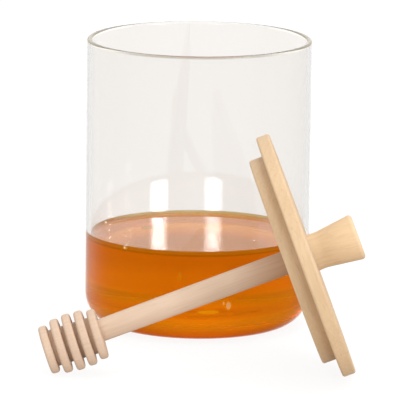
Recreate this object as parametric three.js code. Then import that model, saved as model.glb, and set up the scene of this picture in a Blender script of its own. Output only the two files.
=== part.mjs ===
import * as THREE from 'three';

// Honey pot with dipper: a straight glass jar of honey, and in front of it the wooden lid, lying on
// its rim, with the dipper through its middle. Millimetres, +Z up, the origin at the middle of the
// jar's base, on the table.

// Jar
const jarRadius = 45;
const jarHeight = 115.5;
const wallThickness = 2;
const baseThickness = 3;
const baseRounding = 12.5;

// Honey
const honeyLevel = 36.1;
const meniscusRise = 1.2;
const meniscusCurve = 2.9;

// Lid: a flat disc and below it the plug that drops into the jar
const discRadius = 49.1;
const discThickness = 5.3;
const plugRadius = 41.6;
const plugThickness = 5.6;
const woodEdgeRounding = 0.9;

// Knob: a turned cone, narrow at the lid, with a hint of a waist
const knobLength = 18.6;
const knobFootRadius = 7.35;
const knobWaistRadius = 7.15;
const knobWaistHeight = 3.2;
const knobWaistCurve = 12;
const knobEndRadius = 9.15;
const knobEdgeRounding = 1.4;

// Dipper: a tapered shaft and a head of turned discs
const shaftRadiusAtHead = 4.4;
const shaftRadiusAtLid = 4.65;
const shaftLength = 76.1;
const tailInKnob = 12.5;
const headDiscs = 5;
const headDiscThickness = 3.4;
const headGrooveWidth = 1.5;
const headRadius = 11.2;
const headCoreRadius = 7.2;
const headEdgeRounding = 1.1;
// The head is a barrel: its half length and its widest place, both in disc pitches
const headHalfLengthInPitches = 4;
const headWidestOffset = 0.15;
// The head sits a touch askew on its shaft, as if turned about its tip
const headLean = THREE.MathUtils.degToRad(2.5);

// Where the lid and dipper lie in front of the jar
const lidPlaceX = 39.5;
const lidPlaceY = -94.2;
const dipperHeading = THREE.MathUtils.degToRad(2.6);

// Clearance between pieces that fit into each other
const fitGap = 0.3;

// Facets
const jarSides = 64;
const lidSides = 64;
const knobSides = 40;
const dipperSides = 32;
const arcStep = THREE.MathUtils.degToRad(22.5);
const sameSpot = 1e-6;

// Sizes that follow
const innerRadius = jarRadius - wallThickness;
const headPitch = headDiscThickness + headGrooveWidth;
const headLength = headDiscs * headPitch - headGrooveWidth;
const headTop = -plugThickness - shaftLength;
const headTip = headTop - headLength;
const knobFoot = discThickness + fitGap;
const shaftTop = knobFoot + tailInKnob;

// A corner of a turned outline: its radius from the axis, its height, and how far it is rounded
function corner(radius, height, rounding = 0) {
  return { point: new THREE.Vector2(radius, height), rounding };
}

// The points of a corner, rounded by an arc that leaves both of its sides tangentially
function cornerPoints(before, here, after) {
  if (here.rounding === 0) return [here.point];
  const toBefore = before.point.clone().sub(here.point).normalize();
  const toAfter = after.point.clone().sub(here.point).normalize();
  const halfAngle = Math.acos(THREE.MathUtils.clamp(toBefore.dot(toAfter), -1, 1)) / 2;
  const reach = here.rounding / Math.sin(halfAngle);
  const centre = toBefore.clone().add(toAfter).normalize().multiplyScalar(reach).add(here.point);
  const setback = here.rounding / Math.tan(halfAngle);
  const start = toBefore.clone().multiplyScalar(setback).add(here.point).sub(centre);
  const turnSign = Math.sign(toAfter.cross(toBefore));
  const turn = turnSign * (Math.PI - 2 * halfAngle);
  const steps = Math.max(2, Math.ceil(Math.abs(turn) / arcStep));
  const points = [];
  for (let step = 0; step <= steps; step += 1) {
    const along = start.clone().rotateAround(new THREE.Vector2(), turn * step / steps);
    points.push(along.add(centre));
  }
  return points;
}

// The whole outline, with its corners rounded and doubled points dropped
function outline(corners) {
  const last = corners.length - 1;
  const points = [];
  corners.forEach((here, index) => {
    const before = corners[Math.max(index - 1, 0)];
    const after = corners[Math.min(index + 1, last)];
    for (const point of cornerPoints(before, here, after)) {
      const previous = points[points.length - 1];
      if (!previous || previous.distanceTo(point) > sameSpot) points.push(point);
    }
  });
  return points;
}

// A solid turned about Z. The outline runs upwards on its outer side.
function turned(points, sides) {
  const geometry = new THREE.LatheGeometry(points, sides);
  geometry.rotateX(Math.PI / 2);
  return geometry;
}

function piece(name, geometry, material) {
  const mesh = new THREE.Mesh(geometry, material);
  mesh.name = name;
  return mesh;
}

// The jar: one outline down the outside, round the base, and up the inside to the fire-polished rim
function makeJar() {
  const rimRounding = wallThickness / 2;
  const innerRounding = baseRounding - wallThickness;
  const points = outline([
    corner(0, 0),
    corner(jarRadius, 0, baseRounding),
    corner(jarRadius, jarHeight, rimRounding),
    corner(innerRadius, jarHeight, rimRounding),
    corner(innerRadius, baseThickness, innerRounding),
    corner(0, baseThickness),
  ]);
  const material = new THREE.MeshStandardMaterial({
    color: 0xece7e1,
    roughness: 0.03,
    metalness: 0,
    transparent: true,
    opacity: 0.3,
  });
  return piece('jar', turned(points, jarSides), material);
}

// The honey fills the bottom of the jar and climbs its wall a little
function makeHoney() {
  const radius = innerRadius - fitGap;
  const bottom = baseThickness + fitGap;
  const points = outline([
    corner(0, bottom),
    corner(radius, bottom, baseRounding - wallThickness - fitGap),
    corner(radius, honeyLevel + meniscusRise),
    corner(radius - meniscusRise, honeyLevel, meniscusCurve),
    corner(0, honeyLevel),
  ]);
  const material = new THREE.MeshStandardMaterial({ color: 0xcf6a05, roughness: 0.05, metalness: 0 });
  return piece('honey', turned(points, jarSides), material);
}

// The lid: plug below, disc above, and a hole through both for the dipper's shaft
function makeLid() {
  const holeRadius = shaftRadiusAtLid + fitGap;
  const start = corner(holeRadius, -plugThickness);
  const points = outline([
    start,
    corner(plugRadius, -plugThickness, woodEdgeRounding),
    corner(plugRadius, 0),
    corner(discRadius, 0, woodEdgeRounding),
    corner(discRadius, discThickness, woodEdgeRounding),
    corner(holeRadius, discThickness),
    start,
  ]);
  points.push(points[0].clone());
  const material = new THREE.MeshStandardMaterial({ color: 0xe8cba4, roughness: 0.6, metalness: 0 });
  return piece('lid', turned(points, lidSides), material);
}

// The knob: open at its foot, where the dipper's shaft ends inside it
function makeKnob() {
  const boreRadius = shaftRadiusAtLid + fitGap;
  const boreEnd = shaftTop + fitGap;
  const points = outline([
    corner(0, boreEnd),
    corner(boreRadius, boreEnd),
    corner(boreRadius, knobFoot),
    corner(knobFootRadius, knobFoot),
    corner(knobWaistRadius, knobFoot + knobWaistHeight, knobWaistCurve),
    corner(knobEndRadius, knobFoot + knobLength, knobEdgeRounding),
    corner(0, knobFoot + knobLength),
  ]);
  const material = new THREE.MeshStandardMaterial({ color: 0xf1cfa7, roughness: 0.55, metalness: 0 });
  return piece('knob', turned(points, knobSides), material);
}

// The radius of one of the head's discs, counted from its tip
function headDiscRadius(index) {
  const fromMiddle = index - (headDiscs - 1) / 2 - headWidestOffset;
  return headRadius * Math.sqrt(1 - (fromMiddle / headHalfLengthInPitches) ** 2);
}

// The straight outline of the grooved head, from its tip up to its last disc
function headOutline() {
  const corners = [corner(0, headTip)];
  for (let index = 0; index < headDiscs; index += 1) {
    const low = headTip + index * headPitch;
    const high = low + headDiscThickness;
    const radius = headDiscRadius(index);
    if (index > 0) corners.push(corner(headCoreRadius, low));
    corners.push(corner(radius, low, headEdgeRounding));
    corners.push(corner(radius, high, headEdgeRounding));
    const isLast = index === headDiscs - 1;
    corners.push(corner(isLast ? shaftRadiusAtHead : headCoreRadius, high));
  }
  return outline(corners);
}

// Leans the head's rings of points about its tip. Each side of the turned solid has one outline.
function leanHead(geometry, outlineLength, headPoints) {
  const positions = geometry.getAttribute('position');
  const tip = new THREE.Vector3(0, 0, headTip);
  const leanAxis = new THREE.Vector3(0, 1, 0);
  const point = new THREE.Vector3();
  for (let index = 0; index < positions.count; index += 1) {
    if (index % outlineLength < headPoints) {
      point.fromBufferAttribute(positions, index).sub(tip).applyAxisAngle(leanAxis, headLean).add(tip);
      positions.setXYZ(index, point.x, point.y, point.z);
    }
  }
}

// The dipper: the grooved head below, then the shaft, which ends inside the knob
function makeDipper() {
  const head = headOutline();
  const shaftFoot = head.pop();
  const shaft = outline([
    corner(shaftFoot.x, shaftFoot.y),
    corner(shaftRadiusAtLid, -plugThickness),
    corner(shaftRadiusAtLid, shaftTop),
    corner(0, shaftTop),
  ]);
  const points = [...head, ...shaft];
  const geometry = turned(points, dipperSides);
  leanHead(geometry, points.length, head.length);
  const material = new THREE.MeshStandardMaterial({ color: 0xe8ccb7, roughness: 0.6, metalness: 0 });
  return piece('dipper', geometry, material);
}

// The slope at which the lid's rim and the lower edge of one of the head's discs both touch the table
function slopeOnto(index) {
  const across = headDiscRadius(index) - headEdgeRounding;
  const along = index * headPitch + headEdgeRounding;
  const edge = new THREE.Vector2(across, along).rotateAround(new THREE.Vector2(), -headLean);
  const alongAxis = woodEdgeRounding - (headTip + edge.y);
  const acrossAxis = discRadius - woodEdgeRounding - edge.x;
  const straightSlope = Math.atan2(acrossAxis, alongAxis);
  const roundingStep = woodEdgeRounding - headEdgeRounding;
  return straightSlope + Math.asin(roundingStep / Math.hypot(alongAxis, acrossAxis));
}

// The dipper slopes until the first of its discs touches the table
function dipperSlope() {
  const slopes = Array.from({ length: headDiscs }, (_, index) => slopeOnto(index));
  return Math.min(...slopes);
}

// The height of the middle of the disc's underside while its rim rests on the table
function lidPlaceZ(slope) {
  const rimCentre = (discRadius - woodEdgeRounding) * Math.cos(slope);
  return rimCentre + woodEdgeRounding * (1 - Math.sin(slope));
}

// Lid, knob and dipper stand on one axis, which then leans over onto the table
function makeLidWithDipper() {
  const slope = dipperSlope();
  const group = new THREE.Group();
  group.add(makeLid(), makeKnob(), makeDipper());
  group.rotation.set(0, Math.PI / 2 - slope, dipperHeading, 'ZYX');
  group.position.set(lidPlaceX, lidPlaceY, lidPlaceZ(slope));
  return group;
}

const honeyPot = new THREE.Group();
honeyPot.add(makeJar(), makeHoney(), makeLidWithDipper());

export default honeyPot;
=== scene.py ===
import math
from collections import namedtuple

import bmesh
import bpy
from mathutils import Euler, Matrix, Vector


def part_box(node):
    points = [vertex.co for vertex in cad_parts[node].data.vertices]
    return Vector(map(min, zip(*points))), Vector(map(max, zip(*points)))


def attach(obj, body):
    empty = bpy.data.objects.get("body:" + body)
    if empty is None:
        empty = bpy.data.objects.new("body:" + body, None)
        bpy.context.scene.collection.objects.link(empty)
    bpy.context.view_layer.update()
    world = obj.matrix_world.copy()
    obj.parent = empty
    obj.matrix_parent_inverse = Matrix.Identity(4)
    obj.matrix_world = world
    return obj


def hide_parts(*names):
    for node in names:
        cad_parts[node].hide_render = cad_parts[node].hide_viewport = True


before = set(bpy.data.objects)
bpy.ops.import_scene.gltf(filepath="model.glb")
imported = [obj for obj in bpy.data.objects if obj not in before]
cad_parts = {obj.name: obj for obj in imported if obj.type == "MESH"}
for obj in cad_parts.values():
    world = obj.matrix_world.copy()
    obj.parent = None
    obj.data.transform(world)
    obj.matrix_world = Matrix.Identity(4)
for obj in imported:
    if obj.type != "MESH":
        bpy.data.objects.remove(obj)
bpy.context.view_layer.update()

# A jar of honey with its wooden lid and dipper lying in front of it. Metres, +Z up, the origin at
# the middle of the jar's base.

MM = 0.001
IMAGE_WIDTH = 400

# The jar and the honey, from the frame
JAR_HIGH = Vector(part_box("jar")[1])
HONEY_HIGH = Vector(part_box("honey")[1])
JAR_RADIUS = JAR_HIGH.x
JAR_HEIGHT = JAR_HIGH.z
JAR_WALL = 2 * MM
JAR_INNER_RADIUS = JAR_RADIUS - JAR_WALL
JAR_BASE = 3 * MM
JAR_BASE_ROUNDING = 12.5 * MM
# A hair less than half the wall, so that the rim's two roundings don't meet
JAR_RIM_ROUNDING = 0.999 * JAR_WALL / 2
MENISCUS_RISE = 1.2 * MM
MENISCUS_CURVE = 2.9 * MM
HONEY_LEVEL = HONEY_HIGH.z - MENISCUS_RISE
# How far the honey reaches into the glass, so that no film of air shows between them
WETTING = 0.15 * MM

# The lid, the knob and the dipper, all turned about one axis. Heights run along that axis, from
# the underside of the lid's disc towards the knob.
DISC_RADIUS = 49.1 * MM
DISC_THICKNESS = 5.3 * MM
PLUG_RADIUS = 41.6 * MM
PLUG_THICKNESS = 5.6 * MM
WOOD_EDGE = 0.9 * MM
# The gap that the solids keep between two pieces of wood, and the far smaller one that is drawn
FIT_GAP = 0.3 * MM
SNUG = 0.02 * MM
KNOB_LENGTH = 18.6 * MM
KNOB_FOOT_RADIUS = 7.35 * MM
KNOB_WAIST_RADIUS = 7.15 * MM
KNOB_WAIST_HEIGHT = 3.2 * MM
KNOB_WAIST_CURVE = 12 * MM
KNOB_END_RADIUS = 9.15 * MM
KNOB_EDGE = 1.4 * MM
SHAFT_RADIUS_AT_HEAD = 4.4 * MM
SHAFT_RADIUS_AT_LID = 4.65 * MM
SHAFT_LENGTH = 76.1 * MM
SHAFT_TAIL = 12.5 * MM
HEAD_DISCS = 5
HEAD_DISC_THICKNESS = 3.4 * MM
HEAD_GROOVE = 1.5 * MM
HEAD_RADIUS = 11.2 * MM
HEAD_CORE_RADIUS = 7.2 * MM
HEAD_EDGE = 1.1 * MM
# The head is a barrel: its half length and its widest place, both in disc pitches
HEAD_HALF_LENGTH_IN_PITCHES = 4
HEAD_WIDEST_OFFSET = 0.15
# The head sits a touch askew on its shaft, as if turned about its tip
HEAD_LEAN = math.radians(2.5)
LID_PLACE = Vector((39.5, -94.2)) * MM
DIPPER_HEADING = math.radians(2.6)

HEAD_PITCH = HEAD_DISC_THICKNESS + HEAD_GROOVE
HEAD_LENGTH = HEAD_DISCS * HEAD_PITCH - HEAD_GROOVE
HEAD_TOP = -PLUG_THICKNESS - SHAFT_LENGTH
HEAD_TIP = HEAD_TOP - HEAD_LENGTH
KNOB_FOOT = DISC_THICKNESS + FIT_GAP
SHAFT_TOP = KNOB_FOOT + SHAFT_TAIL


def head_disc_radius(index):
    """The radius of one of the head's discs, counted from its tip."""
    from_middle = index - (HEAD_DISCS - 1) / 2 - HEAD_WIDEST_OFFSET
    return HEAD_RADIUS * math.sqrt(1 - (from_middle / HEAD_HALF_LENGTH_IN_PITCHES) ** 2)


def slope_onto(index):
    """The dipper's slope when the lid's rim and this disc of the head both touch the table."""
    across = head_disc_radius(index) - HEAD_EDGE
    along = index * HEAD_PITCH + HEAD_EDGE
    edge_across = across * math.cos(HEAD_LEAN) + along * math.sin(HEAD_LEAN)
    edge_along = along * math.cos(HEAD_LEAN) - across * math.sin(HEAD_LEAN)
    along_axis = WOOD_EDGE - (HEAD_TIP + edge_along)
    across_axis = DISC_RADIUS - WOOD_EDGE - edge_across
    rounding_step = WOOD_EDGE - HEAD_EDGE
    lift = math.asin(rounding_step / math.hypot(along_axis, across_axis))
    return math.atan2(across_axis, along_axis) + lift


DIPPER_SLOPE = min(slope_onto(index) for index in range(HEAD_DISCS))
RIM_CENTRE_HEIGHT = (DISC_RADIUS - WOOD_EDGE) * math.cos(DIPPER_SLOPE)
LID_PLACE_HEIGHT = RIM_CENTRE_HEIGHT + WOOD_EDGE * (1 - math.sin(DIPPER_SLOPE))
LID_LOCATION = Vector((LID_PLACE.x, LID_PLACE.y, LID_PLACE_HEIGHT))
LID_TURN = Euler((0, math.pi / 2 - DIPPER_SLOPE, DIPPER_HEADING), "XYZ")
LID_MATRIX = Matrix.Translation(LID_LOCATION) @ LID_TURN.to_matrix().to_4x4()

TURNING_STEPS = 192
CORNER_SEGMENTS = 8
SMOOTH_ANGLE = math.radians(35)
SAME_SPOT = 0.001 * MM
ON_RING = 0.01 * MM


def corner(radius, height, rounding=0.0):
    """A corner of a turned outline: radius, height, and how far it is rounded."""
    return Vector((radius, 0, height)), rounding


def turn(corners, closed=False):
    """A solid turned about Z from the corners of its outline, with the edges at the corners rounded."""
    shape = bmesh.new()
    points = [shape.verts.new(place) for place, rounding in corners]
    edges = [shape.edges.new(pair) for pair in zip(points, points[1:])]
    if closed:
        edges.append(shape.edges.new((points[-1], points[0])))
    bmesh.ops.spin(
        shape, geom=points + edges, cent=(0, 0, 0), axis=(0, 0, 1), dvec=(0, 0, 0),
        angle=2 * math.pi, steps=TURNING_STEPS, use_merge=True, use_duplicate=False,
    )
    bmesh.ops.remove_doubles(shape, verts=shape.verts, dist=SAME_SPOT)
    bmesh.ops.recalc_face_normals(shape, faces=shape.faces)
    count = len(corners)
    for index, (place, rounding) in enumerate(corners):
        if rounding > 0:
            before = corners[(index - 1) % count][0]
            after = corners[(index + 1) % count][0]
            half_angle = (before - place).angle(after - place) / 2
            round_ring(shape, place, rounding / math.tan(half_angle))
    return shape


def round_ring(shape, place, setback):
    """Rounds the ring of edges that one corner of the outline has made."""
    def on_ring(vert):
        return math.hypot(math.hypot(vert.co.x, vert.co.y) - place.x, vert.co.z - place.z) < ON_RING

    ring = [edge for edge in shape.edges if on_ring(edge.verts[0]) and on_ring(edge.verts[1])]
    bmesh.ops.bevel(
        shape, geom=ring, offset=setback, offset_type="OFFSET", segments=CORNER_SEGMENTS,
        profile=0.5, affect="EDGES", clamp_overlap=False, material=-1,
    )


def finish_piece(shape, name, material, node=None):
    """Makes a bmesh an object that rides on the root body and stands for its CAD node, if it has one."""
    mesh = bpy.data.meshes.new(name)
    for face in shape.faces:
        face.smooth = True
    shape.to_mesh(mesh)
    shape.free()
    mesh.set_sharp_from_angle(angle=SMOOTH_ANGLE)
    mesh.materials.append(material)
    piece = bpy.data.objects.new(name, mesh)
    bpy.context.scene.collection.objects.link(piece)
    even = piece.modifiers.new("even shading", "WEIGHTED_NORMAL")
    even.keep_sharp = True
    # Nothing mirrors the wood
    piece.visible_glossy = not material.name.endswith("wood")
    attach(piece, "root")
    if node:
        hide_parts(node)


# Nodes

# Where a Mix node keeps its amount, its two colours and the colour that it makes of them
MIX_AMOUNT = 0
FIRST_COLOUR = 6
SECOND_COLOUR = 7
MIXED_COLOUR = 2


class Nodes:
    """The nodes of a material, a light or the world, made one by one and joined by name."""

    def __init__(self, tree):
        self.tree = tree

    def node(self, kind, inputs=None, **settings):
        made = self.tree.nodes.new(kind)
        for name, value in settings.items():
            setattr(made, name, value)
        self.feed(made, inputs or {})
        return made

    def feed(self, target, inputs):
        """Sets a node's sockets to numbers and colours, or joins other nodes' sockets to them."""
        for name, value in inputs.items():
            socket = target.inputs[name]
            if isinstance(value, bpy.types.NodeSocket):
                self.tree.links.new(value, socket)
            else:
                socket.default_value = value

    def maths(self, operation, first, second=0.0):
        return self.node("ShaderNodeMath", {0: first, 1: second}, operation=operation).outputs[0]

    def vector_maths(self, operation, first, second=(0, 0, 0), result="Vector"):
        made = self.node("ShaderNodeVectorMath", {0: first, 1: second}, operation=operation)
        return made.outputs[result]

    def part(self, vector, axis):
        return self.node("ShaderNodeSeparateXYZ", {"Vector": vector}).outputs[axis]

    def mix(self, amount, first, second, blend="MIX"):
        made = self.node("ShaderNodeMix", {
            MIX_AMOUNT: amount, FIRST_COLOUR: first, SECOND_COLOUR: second,
        }, data_type="RGBA", blend_type=blend)
        return made.outputs[MIXED_COLOUR]

    def span(self, value, low, high, to_low=0.0, to_high=1.0):
        """Goes from one number to another while a value goes from low to high, and stays there."""
        made = self.node("ShaderNodeMapRange", {
            "Value": value, "From Min": low, "From Max": high, "To Min": to_low, "To Max": to_high,
        })
        return made.outputs["Result"]

    def blend(self, under, over, value, start, full):
        """Goes over from one colour to another while a value goes from start to full."""
        return self.mix(self.span(value, start, full), under, over)


class Shader(Nodes):
    """The nodes of a material round its one Principled shader."""

    def __init__(self, name):
        self.material = bpy.data.materials.new(name)
        self.material.use_nodes = True
        super().__init__(self.material.node_tree)

    def place(self):
        """Where a point of the surface lies, from the middle of the jar's foot."""
        return self.node("ShaderNodeTexCoord").outputs["Object"]

    def set_surface(self, inputs):
        self.feed(self.tree.nodes["Principled BSDF"], inputs)

    def set_absorption(self, colour, density):
        body = self.node("ShaderNodeVolumeAbsorption", {"Color": colour, "Density": density})
        self.feed(self.tree.nodes["Material Output"], {"Volume": body.outputs[0]})


# Glass and honey

# A tint is the share of the light that a surface lets through. The front tints go over into the
# back ones between these two places, and in the rim between the next two.
FRONT_PLACE = -0.6 * JAR_RADIUS
BACK_PLACE = 0.6 * JAR_RADIUS
RIM_FRONT_PLACE = -0.9 * JAR_RADIUS
RIM_BACK_PLACE = -0.4 * JAR_RADIUS

# The glass, from its wall to its rim and its foot
# Painted shade: the wall is greyer at the back than at the front
FRONT_GLASS_TINT = (1.0, 0.993, 0.985, 1)
BACK_GLASS_TINT = (0.89, 0.865, 0.84, 1)
GLASS_BODY = (0.85, 0.82, 0.76, 1)
GLASS_BODY_DENSITY = 20.0
GLASS_IOR = 1.47
# Painted shade: the rim is dark brown at the front and pale at the back
FRONT_RIM_TINT = (0.50, 0.47, 0.38, 1)
BACK_RIM_TINT = (0.93, 0.91, 0.88, 1)
RIM_ROUGHNESS = 0.25
RIM_START = JAR_HEIGHT - 1.2 * MM
RIM_FULL = JAR_HEIGHT - 0.85 * MM
# Painted light: what the rim sends out at the jar's left and right, standing in for the light that the
# wall carries up to it
RIM_GLOW = (0.36, 0.32, 0.25, 1)
RIM_GLOW_START = 0.6 * JAR_RADIUS
RIM_GLOW_FULL = 0.95 * JAR_RADIUS
# Painted light: the glass is amber at its foot, standing in for the honey's light seen through it
GLASS_FOOT_TINT = (0.85, 0.45, 0.1, 1)
GLASS_FOOT_START = 6 * MM
GLASS_FOOT_FULL = 2 * MM

# The honey, from its upper part down to its foot. Painted light: it is lighter below.
HONEY_TINT = (0.61, 0.155, 0.003, 1)
HONEY_BODY = (0.93, 0.83, 0.5, 1)
HONEY_BODY_DENSITY = 80.0
HONEY_IOR = 1.49
HONEY_CLEARNESS = 0.88
HONEY_GLOW_COLOUR = (1, 0.37, 0, 1)
HONEY_GLOW = 0.18
LOW_HONEY_TINT = (1.0, 0.46, 0.008, 1)
LOW_HONEY_START = 20.5 * MM
LOW_HONEY_FULL = 15 * MM
HONEY_FOOT_TINT = (0.80, 0.34, 0.004, 1)
HONEY_FOOT_START = 9 * MM
HONEY_FOOT_FULL = 5 * MM
HONEY_FOOT_ROUGHNESS = 0.3
ROUGH_HONEY_START = 13 * MM
ROUGH_HONEY_FULL = 6 * MM
# Painted shade: the dark line that rings the honey just below its surface
PAINTED_EDGE_SHADE = (0.22, 0.07, 0.003, 1)
EDGE_START = HONEY_LEVEL - 1.0 * MM
EDGE_FULL = HONEY_LEVEL - 0.7 * MM
EDGE_FADE = HONEY_LEVEL - 0.1 * MM
EDGE_END = HONEY_LEVEL - 0.05 * MM
HONEY_SURFACE_TINT = (0.54, 0.29, 0.003, 1)
SURFACE_START = HONEY_LEVEL - 0.03 * MM
SURFACE_FULL = HONEY_LEVEL - 0.01 * MM
# The thin film of honey that climbs the wall. Painted shade: it is darker at the front than at the back.
FRONT_FILM_TINT = (0.28, 0.16, 0.04, 1)
BACK_FILM_TINT = (0.36, 0.42, 0.28, 1)
FILM_START = HONEY_LEVEL + 0.05 * MM
FILM_FULL = HONEY_LEVEL + 0.3 * MM


def glass_material():
    """Glass, a little frosted in the rim. Painted shade: greyer at the back and dark brown at the rim's
    front. Painted light: the rim glows at its sides and the foot is amber.
    """
    shader = Shader("clear glass")
    place = shader.place()
    height = shader.part(place, "Z")
    depth = shader.part(place, "Y")
    from_middle = shader.maths("ABSOLUTE", shader.part(place, "X"))
    in_rim = shader.span(height, RIM_START, RIM_FULL)
    # Painted light: the rim glows at the jar's left and right
    at_sides = shader.span(from_middle, RIM_GLOW_START, RIM_GLOW_FULL)
    # Painted shade: the wall is greyer at the back, and the rim dark brown at its front
    wall_tint = shader.blend(FRONT_GLASS_TINT, BACK_GLASS_TINT, depth, FRONT_PLACE, BACK_PLACE)
    rim_tint = shader.blend(FRONT_RIM_TINT, BACK_RIM_TINT, depth, RIM_FRONT_PLACE, RIM_BACK_PLACE)
    tint = shader.mix(in_rim, wall_tint, rim_tint)
    # Painted light: amber at the foot
    shader.set_surface({
        "Base Color": shader.blend(tint, GLASS_FOOT_TINT, height, GLASS_FOOT_START, GLASS_FOOT_FULL),
        "Roughness": shader.span(in_rim, 0.0, 1.0, 0.0, RIM_ROUGHNESS),
        "Emission Color": shader.mix(shader.maths("MULTIPLY", in_rim, at_sides), (0, 0, 0, 1), RIM_GLOW),
        "Emission Strength": 1.0,
        "IOR": GLASS_IOR,
        "Transmission Weight": 1.0,
    })
    shader.set_absorption(GLASS_BODY, GLASS_BODY_DENSITY)
    return shader.material


def honey_material():
    """Amber honey, painted lighter below, with painted shade in a dark line just below its surface. Its
    faint glow stands in for the light that it scatters inside.
    """
    shader = Shader("honey")
    place = shader.place()
    height = shader.part(place, "Z")
    depth = shader.part(place, "Y")
    # Painted light: lighter below
    tint = shader.blend(HONEY_TINT, LOW_HONEY_TINT, height, LOW_HONEY_START, LOW_HONEY_FULL)
    tint = shader.blend(tint, HONEY_FOOT_TINT, height, HONEY_FOOT_START, HONEY_FOOT_FULL)
    # Painted shade: a dark line just below the surface
    above_start = shader.span(height, EDGE_START, EDGE_FULL)
    below_end = shader.span(height, EDGE_FADE, EDGE_END, 1.0, 0.0)
    tint = shader.mix(shader.maths("MULTIPLY", above_start, below_end), tint, PAINTED_EDGE_SHADE)
    tint = shader.blend(tint, HONEY_SURFACE_TINT, height, SURFACE_START, SURFACE_FULL)
    # Painted shade: the film is darker at the front than at the back
    film_tint = shader.blend(FRONT_FILM_TINT, BACK_FILM_TINT, depth, FRONT_PLACE, BACK_PLACE)
    shader.set_surface({
        "Base Color": shader.blend(tint, film_tint, height, FILM_START, FILM_FULL),
        "Roughness": shader.span(height, ROUGH_HONEY_START, ROUGH_HONEY_FULL, 0.0, HONEY_FOOT_ROUGHNESS),
        "IOR": HONEY_IOR,
        "Specular Tint": (0, 0, 0, 1),
        "Transmission Weight": HONEY_CLEARNESS,
        "Emission Color": HONEY_GLOW_COLOUR,
        "Emission Strength": HONEY_GLOW,
    })
    shader.set_absorption(HONEY_BODY, HONEY_BODY_DENSITY)
    return shader.material


# Bubbles, foam and painted highlights

# The skin of a bubble, of foam, and of a painted highlight. Its glow stands in for the light that a bubble
# catches from behind, and is painted light in each highlight.
Skin = namedtuple("Skin", "name colour clearness glow_colour glow")
AIR_SKIN = Skin("air bubble", (0.96, 0.88, 0.74, 1), 0.2, (1, 0.9, 0.75, 1), 0.3)
# Painted highlights: skins that glow as the highlights in the honey
WALL_HIGHLIGHT_SKIN = Skin("painted wall highlight", (0.2, 0.1, 0.03, 1), 0.0, (1, 0.46, 0.18, 1), 0.6)
INNER_HIGHLIGHT_SKIN = Skin("painted inner highlight", (0.1, 0.03, 0.002, 1), 0.0, (1, 0.5, 0.008, 1), 0.5)
FOAM_SKIN = Skin("foam", (0.60, 0.34, 0.16, 1), 0.0, (1, 1, 1, 1), 0.0)
SKIN_ROUGHNESS = 0.15
SKIN_IOR = 1.2

# Where each bubble, foam spot and painted highlight is: its azimuth in degrees, how far it is from the
# jar's axis and its height, and then half its size across, towards the wall and upwards
BubbleOrHighlight = namedtuple("BubbleOrHighlight", "azimuth away height half_width half_depth half_height")
AT_WALL = JAR_INNER_RADIUS - 0.05 * MM
AIR_BUBBLES = (
    BubbleOrHighlight(-41, JAR_INNER_RADIUS - 0.5 * MM, HONEY_LEVEL + 0.5 * MM, 1.0 * MM, 0.7 * MM, 0.85 * MM),
    BubbleOrHighlight(-116, JAR_INNER_RADIUS - 0.6 * MM, HONEY_LEVEL + 0.4 * MM, 0.6 * MM, 0.6 * MM, 0.5 * MM),
)
# Painted highlights: glowing spots in the honey, at the wall
WALL_HIGHLIGHTS = (
    BubbleOrHighlight(16.8, AT_WALL, 15.4 * MM, 1.1 * MM, 0.3 * MM, 1.8 * MM),
    BubbleOrHighlight(14.2, AT_WALL, 16.4 * MM, 0.5 * MM, 0.25 * MM, 1.0 * MM),
)
# Painted highlights: glowing spots a little inside the honey
INNER_HIGHLIGHTS = (
    BubbleOrHighlight(-9, AT_WALL - 0.6 * MM, 27 * MM, 0.8 * MM, 0.2 * MM, 1.9 * MM),
    BubbleOrHighlight(6.2, AT_WALL - 1.2 * MM, 12.8 * MM, 4.4 * MM, 0.3 * MM, 0.75 * MM),
)
FOAM_SPOTS = (
    BubbleOrHighlight(-120, 23.4 * MM, HONEY_LEVEL + 0.02 * MM, 2.7 * MM, 2.7 * MM, 0.25 * MM),
)


def skin_material(skin):
    shader = Shader(skin.name)
    shader.set_surface({
        "Base Color": skin.colour,
        "Roughness": SKIN_ROUGHNESS,
        "IOR": SKIN_IOR,
        "Transmission Weight": skin.clearness,
        "Emission Color": skin.glow_colour,
        "Emission Strength": skin.glow,
    })
    return shader.material


# Wood

# Which way the fibres run: along the dipper's own axis, or across it, up and down the lid
ALONG_AXIS = "Z"
ACROSS_LID = "X"
# How far the fibres and the flecks are drawn out along that way
FIBRE_SQUEEZE = 0.03
FLECK_SQUEEZE = 0.12
# How far rings, fibres and clouds each take the wood from its pale to its deep colour
RING_SHARE = 0.16
FIBRE_SHARE = 0.30
PALE_CLOUD_SHARE = -0.15
DEEP_CLOUD_SHARE = 0.25
# How well a fleck covers the wood, and its brightness next to the deep colour
FLECK_SHARE = 0.28
FLECK_BRIGHTNESS = 0.72
SMOOTHEST_WOOD = 0.5
ROUGHEST_WOOD = 0.66
WOOD_SPECULAR = 0.35
# How many radians a wave texture goes through in a metre at scale 1
WAVE_RADIANS = 20

# Painted shade: the wood is darker and warmer where it lies in shade, on the plug's side next to the
# disc, on the shaft next to the lid, and at the bottoms of the head's grooves
PAINTED_SHADE_TONE = (0.74, 0.59, 0.47, 1)
PLUG_SHADE_START = -3.4 * MM
PLUG_SHADE_FULL = -1.4 * MM
PLUG_SHADE_END = 0.05 * MM
PLUG_SHADE = 0.5
SHAFT_SHADE_LENGTH = 22 * MM
GROOVE_SHADE_START = HEAD_TIP + 0.8 * HEAD_DISC_THICKNESS
GROOVE_SHADE_RADIUS = 9.6 * MM
GROOVE_SHADE = 0.7


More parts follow.
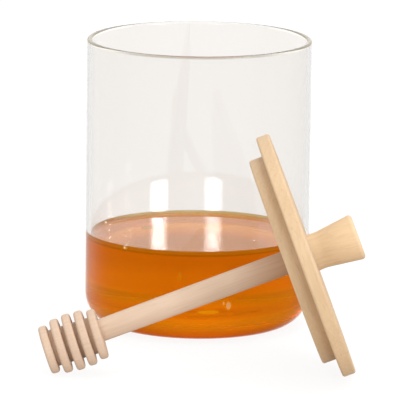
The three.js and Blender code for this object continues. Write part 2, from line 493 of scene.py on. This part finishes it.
def painted_plug_shade(shader, local):
    """How much shade is painted on the plug's side next to the disc."""
    along = shader.part(local, "Z")
    near = shader.span(along, PLUG_SHADE_START, PLUG_SHADE_FULL, 0.0, PLUG_SHADE)
    return shader.maths("MULTIPLY", near, shader.span(along, 0.0, PLUG_SHADE_END, 1.0, 0.0))


def painted_dipper_shade(shader, local):
    """How much shade is painted on the dipper's shaft next to the lid and at the bottoms of its grooves.
    """
    along = shader.part(local, "Z")
    across = shader.vector_maths("MULTIPLY", local, (1, 1, 0))
    away = shader.vector_maths("LENGTH", across, result="Value")
    near_lid = shader.span(along, -PLUG_THICKNESS - SHAFT_SHADE_LENGTH, -PLUG_THICKNESS)
    above_tip = shader.span(along, GROOVE_SHADE_START, HEAD_TIP + HEAD_DISC_THICKNESS)
    below_shaft = shader.span(along, HEAD_TOP, HEAD_TOP - HEAD_DISC_THICKNESS)
    deep = shader.span(away, GROOVE_SHADE_RADIUS, HEAD_CORE_RADIUS, 0.0, GROOVE_SHADE)
    in_groove = shader.maths("MULTIPLY", deep, shader.maths("MULTIPLY", above_tip, below_shaft))
    return shader.maths("MAXIMUM", near_lid, in_groove)


# A wood's pale and deep colour, its fibres, where its pith lies from the middle of the underside of
# the lid's disc, the gap between its rings, and where shade is painted on it, if anywhere
Wood = namedtuple("Wood", "name pale deep fibres pith ring_gap tucked")
LID_WOOD = Wood(
    "lid wood", (0.64, 0.46, 0.285, 1), (0.51, 0.34, 0.185, 1),
    ACROSS_LID, (0, 0.02, -0.07), 2.6 * MM, painted_plug_shade,
)
KNOB_WOOD = Wood(
    "knob wood", (0.70, 0.52, 0.33, 1), (0.52, 0.36, 0.205, 1),
    ALONG_AXIS, (0.03, 0.02, 0), 2.2 * MM, None,
)
DIPPER_WOOD = Wood(
    "dipper wood", (0.61, 0.455, 0.34, 1), (0.50, 0.345, 0.24, 1),
    ALONG_AXIS, (0.025, -0.03, 0), 2.0 * MM, painted_dipper_shade,
)


def drawn_out(shader, local, fibres, squeeze):
    """A space squeezed along the fibres, so that a pattern in it comes out long."""
    scale = {ACROSS_LID: (squeeze, 1, 1), ALONG_AXIS: (1, 1, squeeze)}[fibres]
    return shader.vector_maths("MULTIPLY", local, scale)


def wood_material(wood):
    """Fine pale wood: growth rings round a far pith, long fibres, and short flecks."""
    shader = Shader(wood.name)
    local = shader.node("ShaderNodeMapping", {
        "Vector": shader.place(), "Location": LID_LOCATION, "Rotation": LID_TURN,
    }, vector_type="TEXTURE").outputs["Vector"]
    ring = shader.node("ShaderNodeTexWave", {
        "Vector": shader.vector_maths("SUBTRACT", local, wood.pith),
        "Scale": 2 * math.pi / (WAVE_RADIANS * wood.ring_gap),
        "Distortion": 2.2,
        "Detail": 2.0,
        "Detail Scale": 0.6,
    }, wave_type="RINGS", rings_direction=wood.fibres, wave_profile="SAW").outputs["Fac"]
    fibre = shader.node("ShaderNodeTexNoise", {
        "Vector": drawn_out(shader, local, wood.fibres, FIBRE_SQUEEZE),
        "Scale": 1400.0,
        "Detail": 4.0,
        "Roughness": 0.6,
    }).outputs["Fac"]
    fleck = shader.node("ShaderNodeTexNoise", {
        "Vector": drawn_out(shader, local, wood.fibres, FLECK_SQUEEZE),
        "Scale": 900.0,
        "Detail": 1.0,
        "Roughness": 0.4,
    }).outputs["Fac"]
    cloud = shader.node("ShaderNodeTexNoise", {
        "Vector": local, "Scale": 45.0, "Detail": 2.0,
    }).outputs["Fac"]

    ring_tone = shader.maths("MULTIPLY", ring, RING_SHARE)
    fibre_tone = shader.span(fibre, 0.35, 0.7, 0.0, FIBRE_SHARE)
    cloud_tone = shader.span(cloud, 0.3, 0.7, PALE_CLOUD_SHARE, DEEP_CLOUD_SHARE)
    tone = shader.maths("ADD", shader.maths("ADD", ring_tone, fibre_tone), cloud_tone)
    colour = shader.mix(tone, wood.pale, wood.deep)
    fleck_colour = tuple(FLECK_BRIGHTNESS * level for level in wood.deep[:3]) + (1,)
    colour = shader.mix(shader.span(fleck, 0.64, 0.76, 0.0, FLECK_SHARE), colour, fleck_colour)
    # Painted shade where the wood lies in shade
    if wood.tucked:
        colour = shader.mix(wood.tucked(shader, local), colour, PAINTED_SHADE_TONE, "MULTIPLY")
    bump = shader.node("ShaderNodeBump", {"Height": fibre, "Strength": 0.35, "Distance": 0.06 * MM})
    shader.set_surface({
        "Base Color": colour,
        "Roughness": shader.span(fibre, 0.3, 0.7, SMOOTHEST_WOOD, ROUGHEST_WOOD),
        "Specular IOR Level": WOOD_SPECULAR,
        "Normal": bump.outputs["Normal"],
    })
    return shader.material


# Pieces

def make_jar(material):
    """The straight glass jar with a rounded base and a fire-polished rim."""
    shape = turn([
        corner(0, 0),
        corner(JAR_RADIUS, 0, JAR_BASE_ROUNDING),
        corner(JAR_RADIUS, JAR_HEIGHT, JAR_RIM_ROUNDING),
        corner(JAR_INNER_RADIUS, JAR_HEIGHT, JAR_RIM_ROUNDING),
        corner(JAR_INNER_RADIUS, JAR_BASE, JAR_BASE_ROUNDING - JAR_WALL),
        corner(0, JAR_BASE),
    ])
    finish_piece(shape, "jar_glass", material, node="jar")


def make_honey(material):
    """The honey, wetting the glass and climbing its wall a little."""
    radius = JAR_INNER_RADIUS + WETTING
    bottom = JAR_BASE - WETTING
    run = MENISCUS_RISE + WETTING
    shape = turn([
        corner(0, bottom),
        corner(radius, bottom, JAR_BASE_ROUNDING - JAR_WALL + WETTING),
        corner(radius, HONEY_LEVEL + run),
        corner(radius - run, HONEY_LEVEL, MENISCUS_CURVE),
        corner(0, HONEY_LEVEL),
    ])
    finish_piece(shape, "honey_fill", material, node="honey")


def make_bubbles_and_highlights(name, material, bubbles):
    """Small squashed balls, each with one side towards the jar's wall."""
    shape = bmesh.new()
    for bubble in bubbles:
        around = Matrix.Rotation(math.radians(bubble.azimuth), 4, "Z")
        place = around @ Matrix.Translation((0, -bubble.away, bubble.height))
        squash = Matrix.Diagonal((bubble.half_width, bubble.half_depth, bubble.half_height, 1))
        bmesh.ops.create_icosphere(shape, subdivisions=3, radius=1, matrix=place @ squash)
    finish_piece(shape, name, material)


def place_on_lid_axis(shape):
    bmesh.ops.transform(shape, matrix=LID_MATRIX, verts=shape.verts)


def make_lid(material):
    """The lid's disc and plug, one piece, with the hole for the dipper."""
    hole = SHAFT_RADIUS_AT_LID + SNUG
    shape = turn([
        corner(hole, -PLUG_THICKNESS),
        corner(PLUG_RADIUS, -PLUG_THICKNESS, WOOD_EDGE),
        corner(PLUG_RADIUS, 0),
        corner(DISC_RADIUS, 0, WOOD_EDGE),
        corner(DISC_RADIUS, DISC_THICKNESS, WOOD_EDGE),
        corner(hole, DISC_THICKNESS),
    ], closed=True)
    place_on_lid_axis(shape)
    finish_piece(shape, "wooden_lid", material, node="lid")


def make_knob(material):
    """The turned knob, a cone with a slight waist near the lid."""
    bore = SHAFT_RADIUS_AT_LID + SNUG
    bore_end = SHAFT_TOP + SNUG
    foot = DISC_THICKNESS + SNUG
    shape = turn([
        corner(0, bore_end),
        corner(bore, bore_end),
        corner(bore, foot),
        corner(KNOB_FOOT_RADIUS, foot),
        corner(KNOB_WAIST_RADIUS, KNOB_FOOT + KNOB_WAIST_HEIGHT, KNOB_WAIST_CURVE),
        corner(KNOB_END_RADIUS, KNOB_FOOT + KNOB_LENGTH, KNOB_EDGE),
        corner(0, KNOB_FOOT + KNOB_LENGTH),
    ])
    place_on_lid_axis(shape)
    finish_piece(shape, "lid_knob", material, node="knob")


def head_corners():
    """The outline of the dipper's head, from its tip up to its last disc."""
    corners = [corner(0, HEAD_TIP)]
    for index in range(HEAD_DISCS):
        low = HEAD_TIP + index * HEAD_PITCH
        high = low + HEAD_DISC_THICKNESS
        radius = head_disc_radius(index)
        if index > 0:
            corners.append(corner(HEAD_CORE_RADIUS, low))
        corners.append(corner(radius, low, HEAD_EDGE))
        corners.append(corner(radius, high, HEAD_EDGE))
        if index < HEAD_DISCS - 1:
            corners.append(corner(HEAD_CORE_RADIUS, high))
    return corners


def lean_head(shape):
    """Leans the head about its tip. The ring where the shaft leaves it stays in its place."""
    tip = Matrix.Translation((0, 0, HEAD_TIP))
    lean = tip @ Matrix.Rotation(HEAD_LEAN, 4, "Y") @ tip.inverted()
    inside_shaft = SHAFT_RADIUS_AT_HEAD + 0.1 * MM
    below_top = HEAD_TOP - 0.1 * MM
    top = HEAD_TOP + 0.01 * MM

    def in_head(place):
        beside_shaft = math.hypot(place.x, place.y) > inside_shaft
        return place.z < top and (place.z < below_top or beside_shaft)

    head = [vert for vert in shape.verts if in_head(vert.co)]
    bmesh.ops.transform(shape, matrix=lean, verts=head)


def make_dipper(material):
    """The dipper: five discs cut by grooves, and the tapered shaft that runs on into the knob."""
    shape = turn(head_corners() + [
        corner(SHAFT_RADIUS_AT_HEAD, HEAD_TOP),
        corner(SHAFT_RADIUS_AT_LID, -PLUG_THICKNESS),
        corner(SHAFT_RADIUS_AT_LID, SHAFT_TOP),
        corner(0, SHAFT_TOP),
    ])
    lean_head(shape)
    place_on_lid_axis(shape)
    finish_piece(shape, "honey_dipper", material, node="dipper")


# Floor

FLOOR_HALF_WIDTH = 12
FLOOR_DROP = 0.1 * MM
FLOOR_COLOUR = (0.11, 0.11, 0.11, 1)
FLOOR_ROUGHNESS = 0.9
FLOOR_GLOW = 0.90
# Painted shadow: the floor glows less under the jar, about as far as the jar's flat foot reaches
FOOT_GLOW = 0.1
FOOT_GLOW_END = 0.66 * JAR_RADIUS
FLOOR_GLOW_START = 0.74 * JAR_RADIUS
# The floor is warmer and dimmer in the light that it throws back onto the wood
FLOOR_BOUNCE = (0.82, 0.75, 0.69, 1)


def make_floor():
    """A plain pale floor that is lit from within, as a light table is, just below the object, with a
    painted shadow under the jar.
    """
    shape = bmesh.new()
    bmesh.ops.create_grid(shape, x_segments=1, y_segments=1, size=FLOOR_HALF_WIDTH)
    bmesh.ops.translate(shape, vec=(0, 0, -FLOOR_DROP), verts=shape.verts)
    mesh = bpy.data.meshes.new("floor")
    shape.to_mesh(mesh)
    shape.free()
    floor = bpy.data.objects.new("floor", mesh)
    bpy.context.scene.collection.objects.link(floor)
    shader = Shader("pale floor")
    bounced = shader.node("ShaderNodeLightPath").outputs["Is Diffuse Ray"]
    from_jar = shader.vector_maths("LENGTH", shader.place(), result="Value")
    shader.set_surface({
        "Base Color": FLOOR_COLOUR,
        "Roughness": FLOOR_ROUGHNESS,
        "Specular IOR Level": 0.0,
        "Emission Color": shader.mix(bounced, (1, 1, 1, 1), FLOOR_BOUNCE),
        "Emission Strength": shader.span(from_jar, FOOT_GLOW_END, FLOOR_GLOW_START, FOOT_GLOW, FLOOR_GLOW),
    })
    mesh.materials.append(shader.material)
    # Nothing mirrors the floor, as behind a polarising filter
    floor.visible_glossy = False


# Light. Azimuth 0 is the camera's side, and it grows to the right.

# The tall windows in front of the jar, whose light its back wall and the honey mirror as bright
# columns: azimuth in degrees, width, lowest and highest edge, and the share of its width over which
# a window fades at each side. Each is made of several sheets of light.
Window = namedtuple("Window", "name azimuth width low high fade")
WINDOWS = (
    Window("right_window", 43.5, 1.3, 0.5, 0.8, 0.3),
    Window("left_window", -17.2, 1.3, 0.5, 0.8, 0.5),
)
WINDOW_DISTANCE = 3.2
WINDOW_SHEETS = 4
SHEET_RADIANCE = 10
SHEET_STEP = 0.01

# Soft glows in the studio's walls and ceiling: azimuth and elevation in degrees, strength and
# sharpness
Glow = namedtuple("Glow", "azimuth elevation level sharpness")
AMBIENT = 0.30
GLOWS = (
    Glow(0, 90, 2.5, 6.0),
    Glow(-105, 25, 0.6, 6.0),
    Glow(95, 25, 1.1, 6.0),
    Glow(20, 15, 0.75, 3.0),
    Glow(180, 12, 0.45, 8.0),
    Glow(180, 40, 1.8, 16.0),
)
# Below the horizon the studio is dark but for these, which the glass mirrors in the floor's place
LOW_AMBIENT = 0.03
LOW_GLOWS = (
    Glow(-140, -10, 0.5, 12.0),
    Glow(150, -10, 0.4, 12.0),
    Glow(180, -10, 1.2, 14.0),
)
STUDIO_COLOUR = (1.0, 0.995, 0.985, 1)
UP = (0, 0, 1)


def fade_sides(light, fade):
    """Lets a light grow dim towards its left and right edge."""
    light.use_nodes = True
    sheet = Nodes(light.node_tree)
    across = sheet.part(sheet.node("ShaderNodeNewGeometry").outputs["Parametric"], "X")
    from_left = sheet.span(across, 0.0, fade)
    from_right = sheet.span(across, 1.0, 1.0 - fade)
    strength = sheet.maths("MULTIPLY", from_left, from_right)
    sheet.feed(light.node_tree.nodes["Emission"], {"Strength": strength})


def make_window(window):
    """Upright soft lights, one close behind another, turned to face the jar."""
    azimuth = math.radians(window.azimuth)
    height = window.high - window.low
    for sheet in range(WINDOW_SHEETS):
        light = bpy.data.lights.new(window.name, "AREA")
        light.shape = "RECTANGLE"
        light.size = window.width
        light.size_y = height
        light.energy = SHEET_RADIANCE * math.pi * window.width * height
        fade_sides(light, window.fade)
        lamp = bpy.data.objects.new(window.name, light)
        distance = WINDOW_DISTANCE + sheet * SHEET_STEP
        middle = (window.low + window.high) / 2
        lamp.location = (distance * math.sin(azimuth), -distance * math.cos(azimuth), middle)
        aim = Vector((0, 0, JAR_HEIGHT / 2)) - lamp.location
        lamp.rotation_euler = aim.to_track_quat("-Z", "Y").to_euler()
        bpy.context.scene.collection.objects.link(lamp)


def glow_direction(glow):
    """Where a glow stands, as a direction."""
    azimuth = math.radians(glow.azimuth)
    elevation = math.radians(glow.elevation)
    level = math.cos(elevation)
    return level * math.sin(azimuth), -level * math.cos(azimuth), math.sin(elevation)


def make_studio():
    """Soft glows all round and overhead, and a room that is dark below the horizon but for a few."""
    world = bpy.data.worlds.new("studio")
    world.use_nodes = True
    studio = Nodes(world.node_tree)
    direction = studio.node("ShaderNodeTexCoord").outputs["Generated"]

    def toward(place):
        return studio.vector_maths("DOT_PRODUCT", direction, place, result="Value")

    def add_glows(glows, strength):
        for glow in glows:
            near = studio.maths("MAXIMUM", toward(glow_direction(glow)), 0.0)
            spread = studio.maths("POWER", near, glow.sharpness)
            strength = studio.maths("ADD", studio.maths("MULTIPLY", spread, glow.level), strength)
        return strength

    above = studio.maths("GREATER_THAN", toward(UP), 0.0)
    below = studio.maths("LESS_THAN", toward(UP), 0.0)
    room = studio.maths("MULTIPLY", add_glows(GLOWS, AMBIENT), above)
    low_room = studio.maths("MULTIPLY", add_glows(LOW_GLOWS, LOW_AMBIENT), below)
    studio.feed(world.node_tree.nodes["Background"], {
        "Color": STUDIO_COLOUR,
        "Strength": studio.maths("ADD", room, low_room),
    })
    bpy.context.scene.world = world


def make_light():
    make_studio()
    for window in WINDOWS:
        make_window(window)
    bpy.context.scene.view_settings.view_transform = "Standard"


# Camera

CAMERA_PLACE = Vector((0.0001, -2.269, 0.4847))
CAMERA_HEADING = math.radians(0.02)
CAMERA_PITCH = math.radians(10.85)
CAMERA_ROLL = math.radians(0.68)
FOCAL_PIXELS = 5751
SENSOR_WIDTH = 36


def make_camera():
    """The camera of the photograph: far off, a little above the rim, rolled by a hair."""
    camera_data = bpy.data.cameras.new("camera")
    camera_data.sensor_width = SENSOR_WIDTH
    camera_data.lens = FOCAL_PIXELS / IMAGE_WIDTH * SENSOR_WIDTH
    camera = bpy.data.objects.new("camera", camera_data)
    heading = Matrix.Rotation(-CAMERA_HEADING, 4, "Z")
    aim = heading @ Matrix.Rotation(math.pi / 2 - CAMERA_PITCH, 4, "X")
    camera.matrix_world = Matrix.Translation(CAMERA_PLACE) @ aim @ Matrix.Rotation(CAMERA_ROLL, 4, "Z")
    bpy.context.scene.collection.objects.link(camera)
    bpy.context.scene.camera = camera


make_camera()
make_light()
make_floor()
make_jar(glass_material())
make_honey(honey_material())
make_bubbles_and_highlights("air_bubbles", skin_material(AIR_SKIN), AIR_BUBBLES)
# Painted highlights in the honey
make_bubbles_and_highlights("painted_wall_highlight", skin_material(WALL_HIGHLIGHT_SKIN), WALL_HIGHLIGHTS)
make_bubbles_and_highlights("painted_inner_highlights", skin_material(INNER_HIGHLIGHT_SKIN), INNER_HIGHLIGHTS)
make_bubbles_and_highlights("foam_spot", skin_material(FOAM_SKIN), FOAM_SPOTS)
make_lid(wood_material(LID_WOOD))
make_knob(wood_material(KNOB_WOOD))
make_dipper(wood_material(DIPPER_WOOD))
